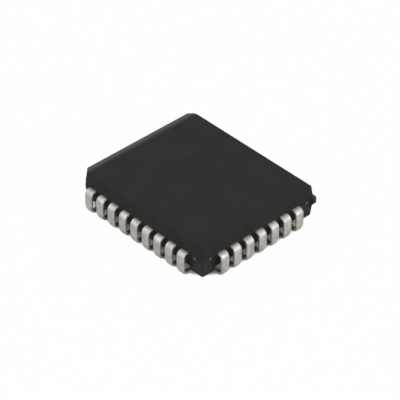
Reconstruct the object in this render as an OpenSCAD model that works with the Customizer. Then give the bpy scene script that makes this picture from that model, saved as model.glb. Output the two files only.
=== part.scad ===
// 32-lead plastic leaded chip carrier, rectangular, with J-leads on all four sides.
// Millimetres, +Z up. The origin is the middle of the seating plane, on which the leads stand.
// +Y is the bevelled short side with lead 1 in its middle, and the leads count anticlockwise from above.

/* [Body] */
// Length of the body at its parting line, along Y
body_len = 13.97; // [13.7:0.01:14.3]
// Width of the body at its parting line, along X
body_wid = 11.43; // [11.1:0.01:11.8]
// Height of the top face above the seating plane
body_top = 3.25; // [3.15:0.01:3.6]
// Air gap from the seating plane to the underside
stand_off = 0.56; // [0.4:0.01:0.6]
// Draft of the side walls, in degrees, up and down from the parting line
wall_draft = 6; // [3:0.5:9]
// Leg of the 45 degree cut at the lead 1 end of the left side
index_cut = 1.07; // [0.8:0.01:1.3]
// Leg of the 45 degree flat on the other three corners
corner_flat = 0.12; // [0.08:0.01:0.4]
// Width of the bevel along the lead 1 edge, seen from above
bevel_run = 0.95; // [0.6:0.01:1.3]
// Drop of that bevel below the top face
bevel_drop = 0.6; // [0.3:0.01:0.8]
// Diameter of the ejector mark in the middle of the underside
ejector_d = 2.4; // [1.5:0.1:3.5]
// Depth of the ejector mark
ejector_deep = 0.06; // [0.03:0.01:0.12]

/* [Gate stub] */
// How far the broken-off moulding gate stands out of its corner
gate_out = 0.24; // [0.1:0.01:0.4]
// How far the middle of the stub lies below the parting line
gate_drop = 0.08; // [0:0.01:0.15]
// Height of the stub at its root, inside the corner
gate_high = 1.1; // [0.9:0.01:1.3]
// Height of its broken end
gate_end = 0.1; // [0.08:0.01:0.3]
// Width of the stub across the corner
gate_w = 0.6; // [0.4:0.01:0.9]

/* [Leads] */
// Leads on each long side, an odd number
long_count = 9; // [5:2:9]
// Leads on each short side, an odd number
short_count = 7; // [5:2:7]
// Distance from lead to lead
pitch = 1.27; // [1.22:0.01:1.3]
// Width of a lead
lead_w = 0.74; // [0.6:0.01:0.81]
// Width of its foot, from the bottom of the J-curl to the tip
foot_w = 0.46; // [0.33:0.01:0.55]
// Height at which a lead starts to narrow towards its foot
taper_top = 0.9; // [0.6:0.01:1.2]
// Height at which it has narrowed to its foot
taper_foot = 0.3; // [0.3:0.01:0.5]
// Thickness of the sheet that the leads and the die pad are cut from
sheet_t = 0.25; // [0.2:0.01:0.3]
// Height of the sheet's top face where the leads leave the body
shoulder_z = 2.21; // [2.05:0.01:2.35]
// How far the leads stand out past the body
lead_reach = 0.508; // [0.46:0.002:0.6]
// Inside radius of the bend at the shoulder
shoulder_r = 0.2; // [0.1:0.01:0.25]
// Outside radius of the J-curl
curl_r = 0.82; // [0.7:0.01:1]
// Angle that the J-curl turns through, in degrees
curl_turn = 168; // [150:1:175]

/* [Lead pockets] */
// Clearance on each side of a lead in its pocket
pocket_side = 0.1; // [0.05:0.01:0.15]
// Clearance behind the tip
pocket_back = 0.12; // [0.05:0.01:0.2]
// Clearance above the tip
pocket_head = 0.3; // [0.15:0.01:0.5]

/* [Lead frame inside] */
// Distance from the body's sides to the die pad
pad_margin = 3.2; // [3:0.05:3.4]
// How far the die pad is set down below the leads
pad_drop = 0.2; // [0.1:0.01:0.3]
// Gap between the finger tips and the die pad
finger_gap = 0.3; // [0.2:0.01:0.5]
// Clearance along the side between the outermost finger, where it bends, and the tie bar
finger_clear = 0.45; // [0.3:0.01:0.7]
// Width of a finger at its tip
finger_tip_w = 0.4; // [0.3:0.01:0.45]
// Distance from the pad's corner to the outermost finger, along the pad's edge
finger_corner = 0.45; // [0.4:0.01:0.6]
// Width of the tie bars that hold the die pad at its corners
tie_w = 0.26; // [0.2:0.01:0.36]
// Distance from a corner to the cut ends of its tie bar, which forks to leave by both walls
tie_fork = 0.78; // [0.65:0.01:0.9]
// How far the cut ends of the tie bars stand out of the body
tie_stub = 0.02; // [0.01:0.01:0.08]
// Length of the sloped step in each tie bar
tie_slope = 0.4; // [0.25:0.01:0.6]

/* [Die and wires] */
// Length of the die
die_len = 6.2; // [5:0.1:6.6]
// Width of the die
die_wid = 3.9; // [3:0.1:4.1]
// Thickness of the die
die_t = 0.38; // [0.28:0.01:0.45]
// Thickness of the adhesive under the die
attach_t = 0.03; // [0.02:0.005:0.05]
// How far the adhesive spreads past the die
attach_rim = 0.08; // [0.04:0.01:0.15]
// Thickness of a bond wire
wire_d = 0.03; // [0.025:0.005:0.04]
// Height of a wire's loop above the die
wire_rise = 0.2; // [0.12:0.01:0.3]
// Distance from the die's edge to its bond pads
bond_inset = 0.12; // [0.08:0.01:0.2]
// Distance from the die's corner to its last bond pad
bond_corner = 0.4; // [0.3:0.01:0.6]
// Length of the stitch that lies flat on a finger
stitch_len = 0.12; // [0.08:0.01:0.18]

/* [Hidden] */
$fn = 64;
half_len = body_len / 2;
half_wid = body_wid / 2;
sheet_bottom = shoulder_z - sheet_t;
part_z = shoulder_z - sheet_t / 2;
wall_lean = tan(wall_draft);
pad_len = body_len - 2 * pad_margin;
pad_wid = body_wid - 2 * pad_margin;
pad_top = shoulder_z - pad_drop;
die_bottom = pad_top + attach_t;
die_top = die_bottom + die_t;
// Room that a cutting shape runs past the face it opens
past = 1;
// Length of the wall profiles, more than the distance from corner to corner
far = body_len + body_wid;

// Middle of the shoulder bend and of the J-curl, from the body's side
shoulder_x = lead_reach - sheet_t - shoulder_r;
shoulder_mid_z = sheet_bottom - shoulder_r;
curl_x = lead_reach - curl_r;
// The tip of the curl: its inmost reach and its top
tip_in = curl_x + curl_r * cos(curl_turn);
tip_top = curl_r - (curl_r - sheet_t) * sin(curl_turn);
// Inner end of the fingers, from the body's side
finger_in = pad_margin - finger_gap;

// The count runs along half the lead 1 side, the left, the far, the right and the rest of the first
lead_total = 2 * (long_count + short_count);
first_run = (short_count + 1) / 2;
left_run = first_run + long_count;
far_run = left_run + short_count;
right_run = far_run + long_count;

function side_of(k) = k <= first_run || k > right_run ? 1 : k <= left_run ? 2 : k <= far_run ? 3 : 0;
function is_long(k) = side_of(k) % 2 == 0;
function side_count(k) = is_long(k) ? long_count : short_count;
function side_half(k) = is_long(k) ? half_wid : half_len;
// Place of a lead along its side, counted in leads from the middle
function place_of(k) =
    k <= first_run ? k - 1
    : k <= left_run ? k - first_run - (long_count + 1) / 2
    : k <= far_run ? k - left_run - (short_count + 1) / 2
    : k <= right_run ? k - far_run - (long_count + 1) / 2
    : k - lead_total - 1;
// Depth at which the fingers of a side bend, so that the outermost one clears the tie bar
function finger_straight(k) =
    (is_long(k) ? half_len : half_wid) - (side_count(k) - 1) / 2 * pitch - lead_w / 2
    - tie_w / sqrt(2) - finger_clear;
// Spread of the finger tips and of the die's bond pads along a side
function tip_pitch(k) = ((is_long(k) ? pad_len : pad_wid) - 2 * finger_corner) / (side_count(k) - 1);
function bond_pitch(k) = ((is_long(k) ? die_len : die_wid) - 2 * bond_corner) / (side_count(k) - 1);
function lead_name(k) = str("lead_", k < 10 ? "0" : "", k);

// Turns a side's own frame, +X outward and +Y anticlockwise, into the part's frame
module on_side(k) {
    rotate(90 * side_of(k))
        children();
}

// Frame of one lead: the origin on the body's side, in the middle of the lead
module at_lead(k) {
    on_side(k)
        translate([side_half(k), place_of(k) * pitch])
            children();
}

// Fan of a turn, clockwise from the first angle, to cut an arc out of a ring
module fan(radius, from, turn) {
    steps = 6;
    polygon(concat([[0, 0]], [for (i = [0 : steps]) 2 * radius * [cos(from - turn * i / steps),
        sin(from - turn * i / steps)]]));
}

// Section of a bend in the sheet, by its outside radius
module bend(radius, from, turn) {
    intersection() {
        difference() {
            circle(radius);
            circle(radius - sheet_t);
        }
        fan(radius, from, turn);
    }
}

// Side view of the formed lead outside the body: shoulder, leg and J-curl
module lead_profile() {
    translate([shoulder_x, shoulder_mid_z])
        bend(shoulder_r + sheet_t, 90, 90);
    translate([lead_reach - sheet_t, curl_r])
        square([sheet_t, shoulder_mid_z - curl_r]);
    translate([curl_x, curl_r])
        bend(curl_r, 0, curl_turn);
}

// Front view of a lead outside the body: full width down the leg, narrowed over the curl to its foot
module lead_front() {
    half = lead_w / 2;
    half_foot = foot_w / 2;
    polygon([[-half, body_top], [half, body_top], [half, taper_top], [half_foot, taper_foot],
        [half_foot, -past], [-half_foot, -past], [-half_foot, taper_foot], [-half, taper_top]]);
}

// Plan of a lead outside the body: the foot stays narrow as it rises again behind the curl's bottom
module lead_plan() {
    half = lead_w / 2;
    half_foot = foot_w / 2;
    back = tip_in - past;
    polygon([[lead_reach + past, -half], [lead_reach + past, half], [curl_x, half], [curl_x, half_foot],
        [back, half_foot], [back, -half_foot], [curl_x, -half_foot], [curl_x, -half]]);
}

// Plan of a pocket, wide at the body's side and narrowed to the tip that it takes
module pocket_plan() {
    half = lead_w / 2 + pocket_side;
    half_tip = foot_w / 2 + pocket_side;
    back = tip_in - pocket_back;
    polygon([[lead_reach + past, -half], [lead_reach + past, half], [curl_x, half], [tip_in, half_tip],
        [back, half_tip], [back, -half_tip], [tip_in, -half_tip], [curl_x, -half]]);
}

// Plan of the finger inside the body, straight at the wall and then bent towards the die pad
module finger_plan(k) {
    half = lead_w / 2;
    shift = place_of(k) * (tip_pitch(k) - pitch);
    bend_in = finger_straight(k);
    polygon([[shoulder_x, -half], [shoulder_x, half], [-bend_in, half],
        [-finger_in, shift + finger_tip_w / 2], [-finger_in, shift - finger_tip_w / 2], [-bend_in, -half]]);
}

module lead(k) {
    color("#b9b5ae")
        at_lead(k) {
            intersection() {
                rotate([90, 0, 0])
                    linear_extrude(lead_w + past, center = true)
                        lead_profile();
                rotate([90, 0, 90])
                    linear_extrude(far, center = true)
                        lead_front();
                translate([0, 0, -past])
                    linear_extrude(body_top + past)
                        lead_plan();
            }
            translate([0, 0, sheet_bottom])
                linear_extrude(sheet_t)
                    finger_plan(k);
        }
}

// Pocket in the underside that the lead's tip curls into
module lead_pocket(k) {
    roof = tip_top + pocket_head;
    at_lead(k)
        translate([0, 0, stand_off - past])
            linear_extrude(roof - stand_off + past)
                pocket_plan();
}

// Wall of the body between two drafted faces, along the X axis
function drafted(reach, z) = reach - abs(z - part_z) * wall_lean;
module drafted_wall(low, high, run = 0, drop = 0) {
    shelf = body_top - drop;
    top_edge = drafted(high, body_top) - run;
    bevel_edge = drop > 0 ? [[drafted(high, shelf), shelf]] : [];
    outline = concat(
        [[-drafted(low, stand_off), stand_off], [drafted(high, stand_off), stand_off], [high, part_z]],
        bevel_edge,
        [[top_edge, body_top], [-drafted(low, body_top), body_top], [-low, part_z]]
    );
    rotate([90, 0, 0])
        linear_extrude(2 * far, center = true)
            polygon(outline);
}

// Reach of a corner's flat from the middle, across the corner
function corner_reach(leg) = (half_len + half_wid - leg) / sqrt(2);

// Frame of a corner: +X out along the diagonal, through the corner's own point
module at_corner(side) {
    aside = (half_len - half_wid) / sqrt(2);
    rotate(45 + 90 * side)
        translate([0, side % 2 == 0 ? aside : -aside])
            children();
}

// Wedge of moulding compound left where the gate was broken off
module gate_stub() {
    root = corner_reach(gate_w);
    end = corner_reach(corner_flat) + gate_out;
    at_corner(3)
        translate([0, 0, part_z - gate_drop])
            rotate([90, 0, 0])
                linear_extrude(gate_w, center = true)
                    polygon([[root, -gate_high / 2], [end, -gate_end / 2], [end, gate_end / 2],
                        [root, gate_high / 2]]);
}

module body_form() {
    intersection() {
        drafted_wall(half_wid, half_wid);
        rotate(90)
            drafted_wall(half_len, half_len, bevel_run, bevel_drop);
        rotate(45)
            drafted_wall(corner_reach(corner_flat), corner_reach(corner_flat));
        rotate(135)
            drafted_wall(corner_reach(corner_flat), corner_reach(index_cut));
    }
}

module package_body() {
    color("#2e2d2c")
        difference() {
            union() {
                body_form();
                gate_stub();
            }
            for (k = [1 : lead_total])
                lead_pocket(k);
            translate([0, 0, stand_off - past])
                cylinder(d = ejector_d, h = past + ejector_deep);
            for (k = [1 : lead_total])
                lead(k);
            die_pad();
            die_attach();
            die();
            bond_wires();
        }
}

// Side view of a tie bar along a diagonal, from inside the pad's corner to its outer end
module tie_profile(reach) {
    corner = (pad_len + pad_wid) / 2 / sqrt(2);
    inside = corner - tie_w;
    polygon([[inside, pad_top - sheet_t], [inside, pad_top], [corner, pad_top],
        [corner + tie_slope, shoulder_z], [reach, shoulder_z], [reach, sheet_bottom],
        [corner + tie_slope, sheet_bottom], [corner, pad_top - sheet_t]]);
}

// Prong of a forked tie bar, from the fork straight out through a wall
module tie_prong(fork, turn) {
    translate([fork, 0, sheet_bottom])
        rotate(turn)
            translate([-tie_w / 2, -tie_w / 2])
                cube([tie_w / 2 + tie_fork + tie_stub, tie_w, sheet_t]);
}

// The bar at the cut corner runs straight out of it, the other three fork
module tie_bar(side) {
    forked = side != 1;
    fork = corner_reach(2 * tie_fork);
    at_corner(side) {
        rotate([90, 0, 0])
            linear_extrude(tie_w, center = true)
                tie_profile(forked ? fork : corner_reach(index_cut) + tie_stub);
        if (forked) {
            tie_prong(fork, 45);
            tie_prong(fork, -45);
        }
    }
}

module die_pad() {
    color("#c9a27a") {
        translate([-pad_wid / 2, -pad_len / 2, pad_top - sheet_t])
            cube([pad_wid, pad_len, sheet_t]);
        for (side = [0 : 3])
            tie_bar(side);
    }
}

module die_attach() {
    rim = 2 * attach_rim;
    color("#8d8f92")
        translate([-(die_wid + rim) / 2, -(die_len + rim) / 2, pad_top])
            cube([die_wid + rim, die_len + rim, attach_t]);
}

module die() {
    color("#4a5561")
        translate([-die_wid / 2, -die_len / 2, die_bottom])
            cube([die_wid, die_len, die_t]);
}

// Side view of a bond wire: up from the die, over, and down to its stitch on the finger
module wire_profile(span) {
    foot = shoulder_z - die_top;
    half = wire_d / 2;
    polygon([[-half, 0], [-half, wire_rise], [span - stitch_len, foot + wire_d], [span, foot + wire_d],
        [span, foot], [span - stitch_len - wire_d, foot], [half, wire_rise - 2 * wire_d], [half, 0]]);
}

module bond_wire(k) {
    die_half = is_long(k) ? die_wid / 2 : die_len / 2;
    start = [die_half - bond_inset, place_of(k) * bond_pitch(k)];
    stop = [side_half(k) - finger_in + stitch_len, place_of(k) * tip_pitch(k)];
    step = stop - start;
    on_side(k)
        translate([start[0], start[1], die_top])
            rotate(atan2(step[1], step[0]))
                rotate([90, 0, 0])
                    linear_extrude(wire_d, center = true)
                        wire_profile(norm(step));
}

module bond_wires() {
    color("#d8b04a")
        for (k = [1 : lead_total])
            bond_wire(k);
}

package_body();
for (k = [1 : lead_total])
    lead(k);
die_pad();
die_attach();
die();
bond_wires();
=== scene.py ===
import math

import bmesh
import bpy
from mathutils import Matrix, Vector


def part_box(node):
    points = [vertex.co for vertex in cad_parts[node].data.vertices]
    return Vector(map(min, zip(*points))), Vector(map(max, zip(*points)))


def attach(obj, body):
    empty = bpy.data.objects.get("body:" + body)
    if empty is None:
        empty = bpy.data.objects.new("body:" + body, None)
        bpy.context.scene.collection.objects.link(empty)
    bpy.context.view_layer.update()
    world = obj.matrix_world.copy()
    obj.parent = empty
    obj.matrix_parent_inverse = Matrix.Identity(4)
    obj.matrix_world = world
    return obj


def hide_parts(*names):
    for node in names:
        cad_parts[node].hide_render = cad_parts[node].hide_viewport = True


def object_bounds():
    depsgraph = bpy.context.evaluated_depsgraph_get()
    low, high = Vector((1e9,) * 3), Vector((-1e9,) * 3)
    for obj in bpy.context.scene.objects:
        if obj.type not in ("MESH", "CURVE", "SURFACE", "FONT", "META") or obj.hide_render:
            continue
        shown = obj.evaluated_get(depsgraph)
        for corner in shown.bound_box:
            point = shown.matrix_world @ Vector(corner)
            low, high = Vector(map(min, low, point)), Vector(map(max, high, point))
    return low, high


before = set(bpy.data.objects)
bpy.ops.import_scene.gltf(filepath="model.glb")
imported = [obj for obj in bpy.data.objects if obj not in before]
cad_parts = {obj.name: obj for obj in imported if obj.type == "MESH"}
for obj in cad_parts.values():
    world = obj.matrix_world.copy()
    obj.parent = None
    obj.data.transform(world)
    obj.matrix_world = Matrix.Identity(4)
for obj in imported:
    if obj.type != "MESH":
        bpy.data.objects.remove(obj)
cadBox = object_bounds()
mm = 0.001
hair = 0.001 * mm  # tolerance when picking by place
aligned = 0.9  # a face looks along an axis when its normal has this share of it
smoothAngle = 35  # degrees, sharper edges stay sharp


def deselectAll():
    if bpy.context.object and bpy.context.object.mode != "OBJECT":
        bpy.ops.object.mode_set(mode="OBJECT")
    bpy.ops.object.select_all(action="DESELECT")


def makeActive(piece):
    deselectAll()
    piece.select_set(True)
    bpy.context.view_layer.objects.active = piece


def editMode(piece):
    makeActive(piece)
    bpy.ops.object.mode_set(mode="EDIT")


def objectMode():
    bpy.ops.object.mode_set(mode="OBJECT")


# select what passes the test, by place or normal, in the piece that is open for editing
def pick(piece, kind, test):
    bpy.ops.mesh.select_mode(type=kind)
    bpy.ops.mesh.select_all(action="DESELECT")
    shape = bmesh.from_edit_mesh(piece.data)
    shape.normal_update()
    items = {"VERT": shape.verts, "EDGE": shape.edges, "FACE": shape.faces}[kind]
    for item in items:
        if test(item):
            item.select_set(True)
    shape.select_flush_mode()
    bmesh.update_edit_mesh(piece.data)


def addBlock(name, low, high):
    deselectAll()
    low, high = Vector(low), Vector(high)
    bpy.ops.mesh.primitive_cube_add(size=1, location=(low + high) / 2)
    block = bpy.context.object
    block.name = name
    block.scale = high - low
    bpy.ops.object.transform_apply(location=True, rotation=True, scale=True)
    return block


def applyModifier(piece, kind, **settings):
    makeActive(piece)
    step = piece.modifiers.new(kind.title(), kind)
    for key, value in settings.items():
        setattr(step, key, value)
    bpy.ops.object.modifier_apply(modifier=step.name)


def closeMesh(piece):
    editMode(piece)
    bpy.ops.mesh.select_all(action="SELECT")
    bpy.ops.mesh.remove_doubles(threshold=hair / 2)
    bpy.ops.mesh.normals_make_consistent(inside=False)
    objectMode()


def smoothPiece(piece):
    makeActive(piece)
    bpy.ops.object.shade_smooth_by_angle(angle=math.radians(smoothAngle))
    applyModifier(piece, "WEIGHTED_NORMAL", keep_sharp=True, weight=100)


leadForm = {
    "sheet": 0.25 * mm,
    "footWide": 0.46 * mm,
    "taperTop": 0.9 * mm,  # heights between which the lead narrows to its foot
    "taperFoot": 0.3 * mm,
    "shoulderRound": 0.2 * mm,  # inside radius
    "curlRound": 0.82 * mm,  # outside radius
    "curlTurn": 168,
    "shoulderSteps": 10,
    "curlSteps": 18,
    "fingerBend": 0.9 * mm,  # depth at which the finger turns towards the die pad
    "fingerTipWide": 0.4 * mm,
    "edgeRound": 0.09 * mm,  # the stamped edges are rolled over and plated
    "edgeSteps": 4,
    "edgeAngle": 40,  # degrees, edges sharper than this are rolled
}

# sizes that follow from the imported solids
bodyLow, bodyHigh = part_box("package_body")
midLow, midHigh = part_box("lead_09")  # middle lead of the left side
halfWide = -bodyLow.x
halfLong = bodyHigh.y
bodyTop = bodyHigh.z
bodyFoot = bodyLow.z
leadWide = midHigh.y - midLow.y
leadReach = -midLow.x - halfWide
sheetTop = midHigh.z
sheetFoot = sheetTop - leadForm["sheet"]
partingHeight = sheetTop - leadForm["sheet"] / 2
fingerIn = halfWide + midHigh.x
leadNames = sorted(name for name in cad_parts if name.startswith("lead_"))

shoulderX = leadReach - leadForm["sheet"] - leadForm["shoulderRound"]
shoulderZ = sheetFoot - leadForm["shoulderRound"]
curlX = leadReach - leadForm["curlRound"]
curlZ = leadForm["curlRound"]
turn = math.radians(leadForm["curlTurn"])
tipIn = curlX + leadForm["curlRound"] * math.cos(turn)
tipTop = curlZ - (leadForm["curlRound"] - leadForm["sheet"]) * math.sin(turn)


# frame of one lead: outward is +X, the origin on the body's side in the middle of the lead
def leadPlace(name):
    low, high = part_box(name)
    lowEdges, highEdges = cadBox
    gaps = [highEdges.x - high.x, highEdges.y - high.y, low.x - lowEdges.x, low.y - lowEdges.y]
    side = gaps.index(min(gaps))
    spin = Matrix.Rotation(math.radians(90 * side), 4, "Z")
    back = spin.inverted()
    ends = [(back @ low).y, (back @ high).y]
    first, last = min(ends), max(ends)
    away = 1 if last > -first else -1
    outer, inner = (last, first) if away > 0 else (first, last)
    centred = abs(first + last) < 10 * hair
    middle = 0 if centred else outer - away * leadWide / 2
    tip = 0 if centred else inner + away * leadForm["fingerTipWide"] / 2
    half = halfLong if side % 2 else halfWide
    return spin @ Matrix.Translation((half, middle, 0)), tip - middle


# one J-lead, with its finger inside the body, in its own frame
def modelLead():
    half = leadWide / 2
    bend = -leadForm["fingerBend"]
    lead = addBlock("leadModel", (bend, -half, sheetFoot), (shoulderX, half, sheetTop))
    editMode(lead)
    pick(lead, "FACE", lambda face: face.normal.x < -aligned)
    bpy.ops.mesh.extrude_region_move(TRANSFORM_OT_translate={"value": (-fingerIn - bend, 0, 0)})
    narrow = leadForm["fingerTipWide"] / leadWide
    bpy.ops.transform.resize(value=(1, narrow, 1), center_override=(0, 0, 0))
    # shoulder bend, leg and curl grow out of the outer end
    pick(lead, "FACE", lambda face: face.normal.x > aligned)
    bpy.ops.mesh.spin(steps=leadForm["shoulderSteps"], angle=-math.radians(90), dupli=False,
                      center=(shoulderX, 0, shoulderZ), axis=(0, 1, 0))
    wide = leadWide

    def narrowTo(height):
        nonlocal wide
        share = (leadForm["taperTop"] - height) / (leadForm["taperTop"] - leadForm["taperFoot"])
        newWide = leadWide + (leadForm["footWide"] - leadWide) * min(1, max(0, share))
        if newWide < wide:
            bpy.ops.transform.resize(value=(1, newWide / wide, 1), center_override=(0, 0, 0))
            wide = newWide

    drops = [shoulderZ, leadForm["taperTop"], curlZ]
    for start, stop in zip(drops, drops[1:]):
        bpy.ops.mesh.extrude_region_move(TRANSFORM_OT_translate={"value": (0, 0, stop - start)})
        narrowTo(stop)
    steps = leadForm["curlSteps"]
    middle = leadForm["curlRound"] - leadForm["sheet"] / 2
    for step in range(1, steps + 1):
        bpy.ops.mesh.spin(steps=1, angle=-turn / steps, dupli=False,
                          center=(curlX, 0, curlZ), axis=(0, 1, 0))
        narrowTo(curlZ - middle * math.sin(turn * step / steps))
    objectMode()
    closeMesh(lead)
    return lead


# rounds the lead's edges, and marks the sheared end as bare copper
def finishLead(lead):
    endWay = Vector((-math.sin(turn), 0, -math.cos(turn)))
    sameWay = 0.99

    def isSheared(face):
        return face.normal.dot(endWay) > sameWay and face.calc_center_median().x < curlX

    editMode(lead)
    pick(lead, "FACE", isSheared)
    lead.data.materials.append(tinPlate)
    lead.data.materials.append(cutCopper)
    lead.active_material_index = 1
    bpy.ops.object.material_slot_assign()
    objectMode()
    applyModifier(lead, "BEVEL", width=leadForm["edgeRound"], segments=leadForm["edgeSteps"],
                  limit_method="ANGLE", angle_limit=math.radians(leadForm["edgeAngle"]))
    smoothPiece(lead)


# copies the finished lead to one place, with its finger bent to the place of its tip
def placeLead(model, name):
    place, shift = leadPlace(name)
    lead = model.copy()
    lead.data = model.data.copy()
    lead.name = "j_" + name
    lead.data.name = lead.name
    bpy.context.scene.collection.objects.link(lead)
    bend = leadForm["fingerBend"]
    for point in lead.data.vertices:
        inside = (-point.co.x - bend) / (fingerIn - bend)
        if inside > 0:
            point.co.y += shift * inside
    lead.data.transform(place)
    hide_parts(name)
    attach(lead, "root")
    return lead


# cuts the open piece along a plane and keeps the side behind it
def cutAway(point, facing):
    bpy.ops.mesh.select_all(action="SELECT")
    way = Vector(facing).normalized()
    bpy.ops.mesh.bisect(plane_co=point, plane_no=way, use_fill=True, clear_outer=True,
                        threshold=hair / 10)


bodyForm = {
    "draft": 6,  # degrees, up and down from the parting line
    "indexCut": 1.07 * mm,
    "cornerFlat": 0.12 * mm,
    "bevelRun": 0.95 * mm,
    "bevelDrop": 0.6 * mm,
    "bevelRound": 0.3 * mm,  # soft fold between the bevel and the top face
    "bevelSteps": 3,
    "cornerRound": 0.13 * mm,  # the three corners that aren't cut
    "cornerSteps": 4,
    "edgeRound": 0.05 * mm,
    "edgeSteps": 3,
    "sharpAngle": 26,  # degrees, edges sharper than this are rounded
    "flashHigh": 0.03 * mm,  # thin line of flash where the two mould halves met
    "flashOut": 0.012 * mm,
    "ejectorWide": 2.4 * mm,
    "ejectorDeep": 0.06 * mm,
    "ejectorSides": 96,
}


def draftedReach(reach, height):
    return reach - abs(height - partingHeight) * math.tan(math.radians(bodyForm["draft"]))


# reach of the cut across a corner, measured along the diagonal
def cornerReach(leg):
    return (halfLong + halfWide - leg) / math.sqrt(2)


# the moulded block: drafted walls, index corner and bevel, with rounded edges and a flash line
def modelBody():
    spare = 1 * mm
    body = addBlock("bodyModel", (-halfWide - spare, -halfLong - spare, bodyFoot),
                    (halfWide + spare, halfLong + spare, bodyTop))
    lean = math.radians(bodyForm["draft"])

    def cutWall(angle, reach):
        way = Vector((math.cos(math.radians(angle)), math.sin(math.radians(angle)), 0))
        point = way * reach + Vector((0, 0, partingHeight))
        for rise in (math.sin(lean), -math.sin(lean)):
            cutAway(point, way * math.cos(lean) + Vector((0, 0, rise)))

    editMode(body)
    for angle, reach in [(0, halfWide), (90, halfLong), (180, halfWide), (270, halfLong)]:
        cutWall(angle, reach)
    shelf = bodyTop - bodyForm["bevelDrop"]
    shelfOut = draftedReach(halfLong, shelf)
    topOut = draftedReach(halfLong, bodyTop) - bodyForm["bevelRun"]
    cutAway((0, shelfOut, shelf), (0, bodyForm["bevelDrop"], shelfOut - topOut))

    def isLevel(edge, height):
        return all(abs(point.co.z - height) < hair for point in edge.verts)

    def isCorner(edge):
        ends = [point.co for point in edge.verts]
        near = 0.3 * mm
        tall = abs(ends[0].z - ends[1].z) > 100 * hair
        outside = all(abs(end.x) > halfWide - near and abs(end.y) > halfLong - near for end in ends)
        indexed = ends[0].x < 0 < ends[0].y
        return tall and outside and not indexed

    pick(body, "EDGE", isCorner)
    bpy.ops.mesh.bevel(offset=bodyForm["cornerRound"], segments=bodyForm["cornerSteps"], affect="EDGES",
                       clamp_overlap=False)
    pick(body, "EDGE", lambda edge: all(abs(point.co.y - topOut) < hair for point in edge.verts))
    bpy.ops.mesh.bevel(offset=bodyForm["bevelRound"], segments=bodyForm["bevelSteps"], affect="EDGES",
                       clamp_overlap=False)
    cutWall(135, cornerReach(bodyForm["indexCut"]))
    sharp = math.radians(bodyForm["sharpAngle"])

    def isSharp(edge):
        return not isLevel(edge, partingHeight) and edge.calc_face_angle(0) > sharp

    pick(body, "EDGE", isSharp)
    bpy.ops.mesh.bevel(offset=bodyForm["edgeRound"], segments=bodyForm["edgeSteps"], affect="EDGES",
                       clamp_overlap=False)
    pick(body, "EDGE", lambda edge: isLevel(edge, partingHeight))
    bpy.ops.mesh.bevel(offset=bodyForm["flashHigh"] / 2, segments=1, affect="EDGES",
                       clamp_overlap=False)
    pick(body, "FACE", lambda face: abs(face.calc_center_median().z - partingHeight) < 2 * hair)
    bpy.ops.mesh.extrude_region_move()
    bpy.ops.transform.shrink_fatten(value=bodyForm["flashOut"])
    objectMode()
    return body


pocketForm = {
    "side": 0.1 * mm,  # clearances round the lead's tip
    "back": 0.12 * mm,
    "head": 0.3 * mm,
    "past": 1 * mm,  # how far the cutter stands out of the body
}


# what the tips of the leads curl into, one prism for each lead, as one cutter
def modelPockets():
    half = leadWide / 2 + pocketForm["side"]
    halfTip = leadForm["footWide"] / 2 + pocketForm["side"]
    roof = tipTop + pocketForm["head"]
    past = pocketForm["past"]
    pocket = addBlock("pocketModel", (curlX, -half, bodyFoot - past), (leadReach + past, half, roof))
    editMode(pocket)
    pick(pocket, "FACE", lambda face: face.normal.x < -aligned)
    bpy.ops.mesh.extrude_region_move(TRANSFORM_OT_translate={"value": (tipIn - curlX, 0, 0)})
    bpy.ops.transform.resize(value=(1, halfTip / half, 1), center_override=(0, 0, 0))
    bpy.ops.mesh.extrude_region_move(TRANSFORM_OT_translate={"value": (-pocketForm["back"], 0, 0)})
    objectMode()
    copies = []
    for name in leadNames:
        copy = pocket.copy()
        copy.data = pocket.data.copy()
        copy.data.transform(leadPlace(name)[0])
        bpy.context.scene.collection.objects.link(copy)
        copies.append(copy)
    deselectAll()
    bpy.ops.mesh.primitive_cylinder_add(vertices=bodyForm["ejectorSides"],
                                        radius=bodyForm["ejectorWide"] / 2, depth=2 * past,
                                        location=(0, 0, bodyFoot + bodyForm["ejectorDeep"] - past))
    bpy.ops.object.transform_apply(location=True, rotation=True, scale=True)
    for copy in copies:
        copy.select_set(True)
    bpy.ops.object.join()
    cutter = bpy.context.object
    bpy.data.objects.remove(pocket)
    return cutter


gateForm = {
    "out": 0.24 * mm,
    "drop": 0.08 * mm,  # the stub's middle below the parting line
    "high": 1.1 * mm,
    "endHigh": 0.1 * mm,
    "wide": 0.6 * mm,
    "cuts": 6,
    "rough": 0.03 * mm,  # of the broken end
    "roughSeed": 4,
}


# stub of moulding compound where the gate was broken off its corner
def modelGate():
    root = cornerReach(gateForm["wide"])
    end = cornerReach(bodyForm["cornerFlat"]) + gateForm["out"]
    half = gateForm["wide"] / 2
    high = gateForm["high"] / 2
    middle = partingHeight - gateForm["drop"]
    stub = addBlock("gateModel", (root, -half, middle - high), (end, half, middle + high))
    editMode(stub)
    pick(stub, "FACE", lambda face: face.normal.x > aligned)
    thin = gateForm["endHigh"] / gateForm["high"]
    bpy.ops.transform.resize(value=(1, 1, thin), center_override=(0, 0, middle))
    bpy.ops.mesh.select_all(action="SELECT")
    bpy.ops.mesh.subdivide(number_cuts=gateForm["cuts"])

    def isBreak(point):
        endHalf = gateForm["endHigh"] / 2
        inside = abs(point.co.y) < half - hair and abs(point.co.z - middle) < endHalf - hair
        return inside and point.co.x > end - hair

    pick(stub, "VERT", isBreak)
    bpy.ops.transform.vertex_random(offset=gateForm["rough"], uniform=0, normal=1,
                                    seed=gateForm["roughSeed"])
    objectMode()
    aside = (halfLong - halfWide) / math.sqrt(2)
    stub.data.transform(Matrix.Rotation(math.radians(315), 4, "Z") @ Matrix.Translation((0, -aside, 0)))
    return stub


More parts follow.
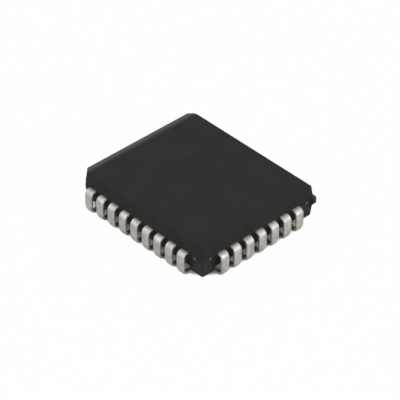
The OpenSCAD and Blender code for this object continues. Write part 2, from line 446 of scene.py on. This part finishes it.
def applyBoolean(piece, other, action):
    applyModifier(piece, "BOOLEAN", object=other, operation=action, solver="EXACT")
    bpy.data.objects.remove(other)


def makeBody():
    body = modelBody()
    applyBoolean(body, modelGate(), "UNION")
    applyBoolean(body, modelPockets(), "DIFFERENCE")
    closeMesh(body)
    smoothPiece(body)
    body.name = "moulded_body"
    body.data.name = body.name
    body.data.materials.append(mouldedEpoxy)
    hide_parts("package_body")
    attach(body, "root")
    return body


def addNode(tree, kind, values=None, **settings):
    node = tree.nodes.new(kind)
    for key, value in settings.items():
        setattr(node, key, value)
    for key, value in (values or {}).items():
        node.inputs[key].default_value = value
    return node


def wire(tree, source, target):
    tree.links.new(source[0].outputs[source[1]], target[0].inputs[target[1]])


def addMath(tree, action, first, second):
    node = addNode(tree, "ShaderNodeMath", operation=action)
    for index, value in enumerate((first, second)):
        if isinstance(value, tuple):
            wire(tree, value, (node, index))
        else:
            node.inputs[index].default_value = value
    return node, 0


def addRamp(tree, source, stops):
    node = addNode(tree, "ShaderNodeValToRGB")
    ramp = node.color_ramp
    for index, (place, colour) in enumerate(stops):
        stop = ramp.elements[index] if index < 2 else ramp.elements.new(place)
        stop.position = place
        stop.color = colour if len(colour) == 4 else (*colour, 1)
    wire(tree, source, (node, "Fac"))
    return node, "Color"


def addMix(tree, factor, first, second):
    node = addNode(tree, "ShaderNodeMix", data_type="RGBA")
    wire(tree, factor, (node, 0))
    for index, value in ((6, first), (7, second)):
        if isinstance(value[0], bpy.types.Node):
            wire(tree, value, (node, index))
        else:
            node.inputs[index].default_value = (*value, 1)
    return node, 2


def newGroup(name, inputs, outputs):
    group = bpy.data.node_groups.new(name, "ShaderNodeTree")
    for label, kind in inputs:
        group.interface.new_socket(name=label, in_out="INPUT", socket_type="NodeSocket" + kind)
    for label in outputs:
        group.interface.new_socket(name=label, in_out="OUTPUT", socket_type="NodeSocketFloat")
    return group, group.nodes.new("NodeGroupInput"), group.nodes.new("NodeGroupOutput")


# spark-eroded grain and slow clouding of a moulded or cast surface
def buildMouldGrain():
    inputs = [("Vector", "Vector"), ("Grain", "Float"), ("Cloud", "Float")]
    group, source, result = newGroup("mouldGrain", inputs, ["Height", "Clouding"])
    pitScale = 0.6  # the pits are coarser than the grain, and half as deep
    pitDeep = 0.5
    fine = addNode(group, "ShaderNodeTexNoise", {"Detail": 3, "Roughness": 0.6})
    pits = addNode(group, "ShaderNodeTexVoronoi", {"Randomness": 1}, feature="SMOOTH_F1")
    slow = addNode(group, "ShaderNodeTexNoise", {"Detail": 4, "Roughness": 0.55})
    for node in (fine, pits, slow):
        wire(group, (source, "Vector"), (node, "Vector"))
    wire(group, (source, "Grain"), (fine, "Scale"))
    wire(group, addMath(group, "MULTIPLY", (source, "Grain"), pitScale), (pits, "Scale"))
    wire(group, (source, "Cloud"), (slow, "Scale"))
    pitting = addMath(group, "MULTIPLY", (pits, "Distance"), pitDeep)
    height = addMath(group, "ADD", (fine, "Fac"), pitting)
    wire(group, height, (result, "Height"))
    wire(group, (slow, "Fac"), (result, "Clouding"))
    return group


# fine drawn lines along the height, with cloudy tarnish
def buildSatinLines():
    inputs = [("Vector", "Vector"), ("Across", "Float"), ("Along", "Float"), ("Cloud", "Float")]
    group, source, result = newGroup("satinLines", inputs, ["Lines", "Tarnish"])
    scale = addNode(group, "ShaderNodeCombineXYZ")
    wire(group, (source, "Across"), (scale, "X"))
    wire(group, (source, "Across"), (scale, "Y"))
    wire(group, (source, "Along"), (scale, "Z"))
    stretch = addNode(group, "ShaderNodeVectorMath", operation="MULTIPLY")
    wire(group, (source, "Vector"), (stretch, 0))
    wire(group, (scale, "Vector"), (stretch, 1))
    lines = addNode(group, "ShaderNodeTexNoise", {"Scale": 1, "Detail": 4, "Roughness": 0.65})
    wire(group, (stretch, "Vector"), (lines, "Vector"))
    cloud = addNode(group, "ShaderNodeTexNoise", {"Detail": 5, "Roughness": 0.6})
    wire(group, (source, "Vector"), (cloud, "Vector"))
    wire(group, (source, "Cloud"), (cloud, "Scale"))
    wire(group, (lines, "Fac"), (result, "Lines"))
    wire(group, (cloud, "Fac"), (result, "Tarnish"))
    return group


# small flecks, in a few of the cells only
def buildFlecks():
    inputs = [("Vector", "Vector"), ("Scale", "Float"), ("Size", "Float"), ("Rarity", "Float")]
    group, source, result = newGroup("flecks", inputs, ["Mask"])
    cells = addNode(group, "ShaderNodeTexVoronoi", {"Randomness": 1}, feature="F1")
    wire(group, (source, "Vector"), (cells, "Vector"))
    wire(group, (source, "Scale"), (cells, "Scale"))
    chance = addNode(group, "ShaderNodeSeparateColor")
    wire(group, (cells, "Color"), (chance, "Color"))
    near = addMath(group, "LESS_THAN", (cells, "Distance"), (source, "Size"))
    chosen = addMath(group, "GREATER_THAN", (chance, "Red"), (source, "Rarity"))
    wire(group, addMath(group, "MULTIPLY", near, chosen), (result, "Mask"))
    return group


def addGroup(tree, group, vector, values):
    node = addNode(tree, "ShaderNodeGroup")
    node.node_tree = group
    for key, value in values.items():
        node.inputs[key].default_value = value
    wire(tree, vector, (node, "Vector"))
    return node


def newMaterial(name, values):
    material = bpy.data.materials.new(name)
    material.use_nodes = True
    tree = material.node_tree
    tree.nodes.clear()
    shader = addNode(tree, "ShaderNodeBsdfPrincipled", values)
    wire(tree, (shader, "BSDF"), (addNode(tree, "ShaderNodeOutputMaterial"), "Surface"))
    place = (addNode(tree, "ShaderNodeTexCoord"), "Object")
    return material, tree, shader, place


# spreads a value's span over a range of roughness
def addRoughness(tree, source, shader, span, rough):
    spread = addNode(tree, "ShaderNodeMapRange", {"From Min": span[0], "From Max": span[1],
                                                  "To Min": rough[0], "To Max": rough[1]})
    wire(tree, source, (spread, "Value"))
    wire(tree, (spread, "Result"), (shader, "Roughness"))


def addBump(tree, height, shader, distance, strength):
    bump = addNode(tree, "ShaderNodeBump", {"Distance": distance, "Strength": strength})
    wire(tree, height, (bump, "Height"))
    wire(tree, (bump, "Normal"), (shader, "Normal"))


epoxyFinish = {
    "dark": (0.0158, 0.0155, 0.0150),
    "light": (0.0222, 0.0218, 0.0210),
    "fleck": (0.045, 0.044, 0.042),
    "roughLow": 0.32,
    "roughHigh": 0.46,
    "specular": 0.12,
    "grain": 15000,
    "cloud": 420,
    "grainDeep": 0.006 * mm,
    "grainStrength": 0.7,
    "fleckScale": 3200,
    "fleckSize": 0.14,
    "fleckRarity": 0.985,
}


def buildEpoxy():
    look = epoxyFinish
    values = {"Specular IOR Level": look["specular"]}
    material, tree, shader, place = newMaterial("mouldedEpoxy", values)
    grain = addGroup(tree, mouldGrain, place, {"Grain": look["grain"], "Cloud": look["cloud"]})
    flecks = addGroup(tree, fleckGroup, place, {"Scale": look["fleckScale"], "Size": look["fleckSize"],
                                                "Rarity": look["fleckRarity"]})
    tone = addRamp(tree, (grain, "Clouding"), [(0.3, look["dark"]), (0.7, look["light"])])
    wire(tree, addMix(tree, (flecks, "Mask"), tone, look["fleck"]), (shader, "Base Color"))
    addRoughness(tree, (grain, "Height"), shader, (0.3, 1.1), (look["roughLow"], look["roughHigh"]))
    addBump(tree, (grain, "Height"), shader, look["grainDeep"], look["grainStrength"])
    return material


tinFinish = {
    "dull": (0.47, 0.448, 0.408),
    "clean": (0.67, 0.648, 0.604),
    "roughLow": 0.46,
    "roughHigh": 0.64,
    "across": 14000,
    "along": 2200,
    "cloud": 2300,
    "lineDeep": 0.0025 * mm,
    "lineStrength": 0.6,
}


def buildTin():
    look = tinFinish
    material, tree, shader, place = newMaterial("tinPlate", {"Metallic": 1.0})
    satin = addGroup(tree, satinLines, place, {"Across": look["across"], "Along": look["along"],
                                               "Cloud": look["cloud"]})
    tone = addRamp(tree, (satin, "Tarnish"), [(0.32, look["dull"]), (0.62, look["clean"])])
    wire(tree, tone, (shader, "Base Color"))
    addRoughness(tree, (satin, "Lines"), shader, (0.3, 0.7), (look["roughHigh"], look["roughLow"]))
    addBump(tree, (satin, "Lines"), shader, look["lineDeep"], look["lineStrength"])
    return material


copperFinish = {
    "cutCopper": ((0.33, 0.19, 0.12), (0.58, 0.34, 0.22)),  # dull and clean tones of each metal
    "padCopper": ((0.42, 0.30, 0.21), (0.60, 0.43, 0.30)),
    "goldWire": ((0.66, 0.46, 0.16), (0.86, 0.64, 0.26)),
    "across": 9000,
    "along": 2500,
    "cloud": 2200,
    "roughLow": 0.38,
    "roughHigh": 0.55,
    "lineDeep": 0.004 * mm,
    "lineStrength": 0.5,
}

# the tie bars' ends in the walls are smeared dull by the cut
tieEnd = {"colour": (0.13, 0.126, 0.12), "from": 8.20 * mm, "full": 8.35 * mm}


# bare metal, sheared, stamped or drawn, on the lead tips, the die pad and the wires
def buildCopper(name, cutEnd=None):
    look = copperFinish
    dull, clean = look[name]
    material, tree, shader, place = newMaterial(name, {"Metallic": 1.0})
    satin = addGroup(tree, satinLines, place, {"Across": look["across"], "Along": look["along"],
                                               "Cloud": look["cloud"]})
    tone = addRamp(tree, (satin, "Tarnish"), [(0.35, dull), (0.65, clean)])
    if cutEnd:
        reach = addNode(tree, "ShaderNodeVectorMath", operation="LENGTH")
        wire(tree, place, (reach, 0))
        share = addNode(tree, "ShaderNodeMapRange", {"From Min": cutEnd["from"],
                                                     "From Max": cutEnd["full"]})
        wire(tree, (reach, "Value"), (share, "Value"))
        tone = addMix(tree, (share, "Result"), tone, cutEnd["colour"])
    wire(tree, tone, (shader, "Base Color"))
    addRoughness(tree, (satin, "Lines"), shader, (0, 1), (look["roughHigh"], look["roughLow"]))
    addBump(tree, (satin, "Lines"), shader, look["lineDeep"], look["lineStrength"])
    return material


glueFinish = {
    "dark": (0.24, 0.24, 0.25),
    "light": (0.36, 0.36, 0.37),
    "metallic": 0.3,
    "rough": 0.5,
    "grain": 12000,
    "cloud": 1000,
}

siliconFinish = {
    "dark": (0.055, 0.07, 0.085),
    "light": (0.08, 0.10, 0.12),
    "metallic": 0.4,
    "rough": 0.15,
    "grain": 9000,
    "cloud": 750,
}

castSurface = {"roughSpread": 0.15, "grainDeep": 0.003 * mm, "grainStrength": 0.4}


def buildCast(name, look):
    material, tree, shader, place = newMaterial(name, {"Metallic": look["metallic"]})
    surface = addGroup(tree, mouldGrain, place, {"Grain": look["grain"], "Cloud": look["cloud"]})
    tone = addRamp(tree, (surface, "Clouding"), [(0.3, look["dark"]), (0.7, look["light"])])
    wire(tree, tone, (shader, "Base Color"))
    rough = (look["rough"], look["rough"] + castSurface["roughSpread"])
    addRoughness(tree, (surface, "Height"), shader, (0, 1.4), rough)
    addBump(tree, (surface, "Height"), shader, castSurface["grainDeep"], castSurface["grainStrength"])
    return material


def giveFinish(node, material):
    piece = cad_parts[node]
    piece.data.materials.clear()
    piece.data.materials.append(material)


studio = {
    "floorSize": 0.9,
    "floorDrop": 0.002 * mm,  # keeps the floor clear of the feet
    "floorColour": (0.78, 0.78, 0.78, 1),
    "floorGlow": 0.985,  # share of plain white that the camera sees, the rest keeps the shadow
    "floorGlossGlow": 0.18,  # the same for what the metal mirrors
    "shadeInset": 0.3 * mm,  # how far inside the chip's outline its shade starts to fade
    "shadeEdge": 0.4 * mm,
    "shadeRound": 2.8 * mm,
    "shadeLift": 0.06,  # share of the white that still reaches in under the chip
    "skyLevel": 0.5,
    "skyGloss": 0.6,
    "boxWide": 0.7,
    "boxHigh": 0.28,
    "keyPower": 1.05,
    "keyPlace": (0.09, -0.39, 0.16),
    "fillPower": 0.56,
    "fillPlace": (-0.3, 0.12, 0.24),
}


# how far a place on the floor lies outside the shade under the chip, as a share of the shade's edge
def outsideShare(tree):
    place = addNode(tree, "ShaderNodeTexCoord")
    size = addNode(tree, "ShaderNodeVectorMath", operation="ABSOLUTE")
    wire(tree, (place, "Object"), (size, 0))
    rounding = studio["shadeRound"]
    core = (halfWide - rounding, halfLong - rounding, 1)
    past = addNode(tree, "ShaderNodeVectorMath", {1: core}, operation="SUBTRACT")
    wire(tree, (size, "Vector"), (past, 0))
    outer = addNode(tree, "ShaderNodeVectorMath", {1: (0, 0, 0)}, operation="MAXIMUM")
    wire(tree, (past, "Vector"), (outer, 0))
    reach = addNode(tree, "ShaderNodeVectorMath", operation="LENGTH")
    wire(tree, (outer, "Vector"), (reach, 0))
    near = rounding - studio["shadeInset"]
    far = near + studio["shadeEdge"]
    share = addNode(tree, "ShaderNodeMapRange", {"From Min": near, "From Max": far,
                                                 "To Min": studio["shadeLift"]},
                    interpolation_type="SMOOTHSTEP")
    wire(tree, (reach, "Value"), (share, "Value"))
    return share, "Result"


# white that the camera and mirrored rays see in full, with the real surface under it
def whiteShare(tree, cameraShare, glossShare):
    rays = addNode(tree, "ShaderNodeLightPath")
    seen = addMath(tree, "MULTIPLY", (rays, "Is Camera Ray"), cameraShare)
    mirrored = addMath(tree, "MULTIPLY", (rays, "Is Glossy Ray"), glossShare)
    through = addMath(tree, "MULTIPLY", (rays, "Is Transmission Ray"), glossShare)
    return addMath(tree, "MAXIMUM", seen, addMath(tree, "MAXIMUM", mirrored, through))


def buildFloor():
    deselectAll()
    bpy.ops.mesh.primitive_plane_add(size=studio["floorSize"], location=(0, 0, -studio["floorDrop"]))
    floor = bpy.context.object
    floor.name = "studio_floor"
    material = bpy.data.materials.new("studioFloor")
    material.use_nodes = True
    tree = material.node_tree
    tree.nodes.clear()
    paper = addNode(tree, "ShaderNodeBsdfDiffuse", {"Color": studio["floorColour"]})
    glow = addNode(tree, "ShaderNodeEmission", {"Color": (1, 1, 1, 1), "Strength": 1})
    blend = addNode(tree, "ShaderNodeMixShader")
    share = whiteShare(tree, studio["floorGlow"], studio["floorGlossGlow"])
    wire(tree, addMath(tree, "MULTIPLY", share, outsideShare(tree)), (blend, 0))
    wire(tree, (paper, "BSDF"), (blend, 1))
    wire(tree, (glow, "Emission"), (blend, 2))
    wire(tree, (blend, "Shader"), (addNode(tree, "ShaderNodeOutputMaterial"), "Surface"))
    floor.data.materials.append(material)


def buildSky():
    world = bpy.data.worlds.new("studioSky")
    bpy.context.scene.world = world
    world.use_nodes = True
    tree = world.node_tree
    tree.nodes.clear()
    light = addNode(tree, "ShaderNodeBackground", {"Color": (1, 1, 1, 1),
                                                   "Strength": studio["skyLevel"]})
    white = addNode(tree, "ShaderNodeBackground", {"Color": (1, 1, 1, 1), "Strength": 1})
    blend = addNode(tree, "ShaderNodeMixShader")
    wire(tree, whiteShare(tree, 1, studio["skyGloss"]), (blend, 0))
    wire(tree, (light, "Background"), (blend, 1))
    wire(tree, (white, "Background"), (blend, 2))
    wire(tree, (blend, "Shader"), (addNode(tree, "ShaderNodeOutputWorld"), "Surface"))


def addSoftbox(name, place, power):
    lamp = bpy.data.lights.new(name, "AREA")
    lamp.shape = "RECTANGLE"
    lamp.size = studio["boxWide"]
    lamp.size_y = studio["boxHigh"]
    lamp.energy = power
    box = bpy.data.objects.new(name, lamp)
    box.location = place
    box.rotation_euler = Vector(place).to_track_quat("Z", "Y").to_euler()
    bpy.context.scene.collection.objects.link(box)


# the photo's own viewpoint, from a fit of the chip's outline
cameraView = {
    "azimuth": -42.84,  # degrees, 0 looks along +Y
    "elevation": 37.38,
    "roll": -0.16,
    "distance": 238.53 * mm,
    "focalPixels": 3172.45,  # focal length in pixels of the frame
    "framePixels": 400,
    "sensor": 36.0,
    "clipStart": 0.01,
    "aimHeight": 1.75 * mm,
    "aimRight": 0.408 * mm,  # the chip sits a little left of and above the frame's middle
    "aimUp": -0.574 * mm,
}


def buildCamera():
    turnRound = math.radians(cameraView["azimuth"])
    rise = math.radians(cameraView["elevation"])
    level = Vector((math.cos(turnRound), math.sin(turnRound), 0))
    back = Vector((math.sin(turnRound), -math.cos(turnRound), 0))
    away = back * math.cos(rise) + Vector((0, 0, math.sin(rise)))
    roll = Matrix.Rotation(math.radians(cameraView["roll"]), 3, away)
    right = roll @ level
    up = roll @ away.cross(level)
    aim = right * cameraView["aimRight"] + up * cameraView["aimUp"]
    aim.z += cameraView["aimHeight"]
    lens = bpy.data.cameras.new("photoCamera")
    lens.sensor_fit = "HORIZONTAL"
    lens.sensor_width = cameraView["sensor"]
    lens.lens = cameraView["focalPixels"] / cameraView["framePixels"] * cameraView["sensor"]
    lens.clip_start = cameraView["clipStart"]
    camera = bpy.data.objects.new("photoCamera", lens)
    turned = Matrix((right, up, away)).transposed().to_4x4()
    camera.matrix_world = Matrix.Translation(aim + away * cameraView["distance"]) @ turned
    bpy.context.scene.collection.objects.link(camera)
    bpy.context.scene.camera = camera


mouldGrain = buildMouldGrain()
satinLines = buildSatinLines()
fleckGroup = buildFlecks()
mouldedEpoxy = buildEpoxy()
tinPlate = buildTin()
cutCopper = buildCopper("cutCopper")
padCopper = buildCopper("padCopper", tieEnd)
silverGlue = buildCast("silverGlue", glueFinish)
darkSilicon = buildCast("darkSilicon", siliconFinish)
goldWire = buildCopper("goldWire")
print("finishes built")

makeBody()
print("body moulded")
leadModel = modelLead()
finishLead(leadModel)
for name in leadNames:
    placeLead(leadModel, name)
bpy.data.objects.remove(leadModel)
print("leads formed:", len(leadNames))
giveFinish("die_pad", padCopper)
giveFinish("die_attach", silverGlue)
giveFinish("die", darkSilicon)
giveFinish("bond_wires", goldWire)
print("inner pieces finished")

buildFloor()
buildSky()
addSoftbox("keyLight", studio["keyPlace"], studio["keyPower"])
addSoftbox("fillLight", studio["fillPlace"], studio["fillPower"])
buildCamera()
bpy.context.scene.view_settings.view_transform = "Standard"
print("stage lit")
